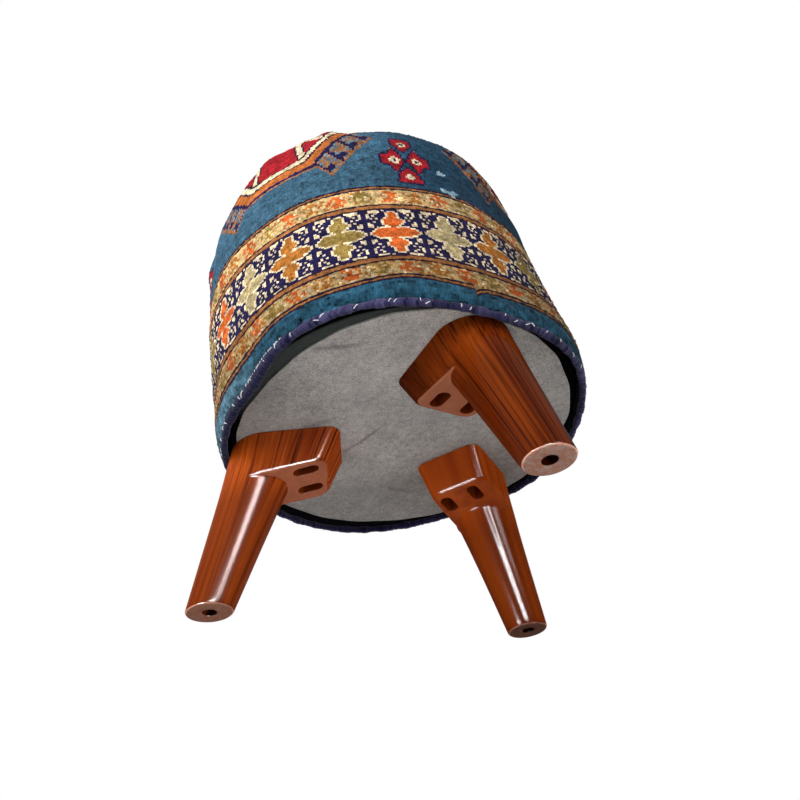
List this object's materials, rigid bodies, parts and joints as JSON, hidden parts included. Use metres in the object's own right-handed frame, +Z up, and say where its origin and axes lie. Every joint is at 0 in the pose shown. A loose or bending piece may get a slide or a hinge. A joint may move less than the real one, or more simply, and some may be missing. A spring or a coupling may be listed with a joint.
{
  "type": "carpet pouf",
  "caption": "Round stool with a soft domed drum covered in a patterned rug, on moulded splay legs with a wood look; a low seat or footrest.",
  "frame": {"origin": "on the floor, on the upright axis of the drum", "axes": "+Z up along the drum's axis; -X towards the left leg; the picture was taken from the -Y side"},
  "size_m": [0.3747, 0.3524, 0.4648],
  "materials": {
    "rug": "knotted wool pile, patterned in blue, navy, red, orange and ivory",
    "edge_yarn": "navy overcast yarn",
    "felt": "grey pressed felt",
    "lining": "black non-woven cloth",
    "plywood": "bare plywood",
    "batten": "bare pine",
    "hardboard": "bare hardboard",
    "wadding": "polyester wadding",
    "foam": "open-cell foam",
    "leg_plastic": "moulded plastic with a lacquered wood-grain film",
    "leg_screw": "black phosphated steel",
    "post_screw": "zinc-plated steel"
  },
  "bodies": {
    "root": {"carpet_cover": "rug", "hem_overcast": "edge_yarn", "felt_dust_cover": "felt", "base_lining": "lining", "bottom_board": "plywood", "top_board": "plywood", "side_wall": "hardboard", "side_wadding": "wadding", "top_foam": "foam", "frame_post_1": "batten", "frame_post_2": "batten", "frame_post_3": "batten", "frame_post_4": "batten", "frame_post_5": "batten", "frame_post_6": "batten", "leg_left": "leg_plastic", "leg_rear": "leg_plastic", "leg_front": "leg_plastic", "leg_left_screw_1": "leg_screw", "leg_left_screw_2": "leg_screw", "leg_rear_screw_1": "leg_screw", "leg_rear_screw_2": "leg_screw", "leg_front_screw_1": "leg_screw", "leg_front_screw_2": "leg_screw", "post_1_upper_screw": "post_screw", "post_1_lower_screw": "post_screw", "post_2_upper_screw": "post_screw", "post_2_lower_screw": "post_screw", "post_3_upper_screw": "post_screw", "post_3_lower_screw": "post_screw", "post_4_upper_screw": "post_screw", "post_4_lower_screw": "post_screw", "post_5_upper_screw": "post_screw", "post_5_lower_screw": "post_screw", "post_6_upper_screw": "post_screw", "post_6_lower_screw": "post_screw"}
  },
  "joints": []
}
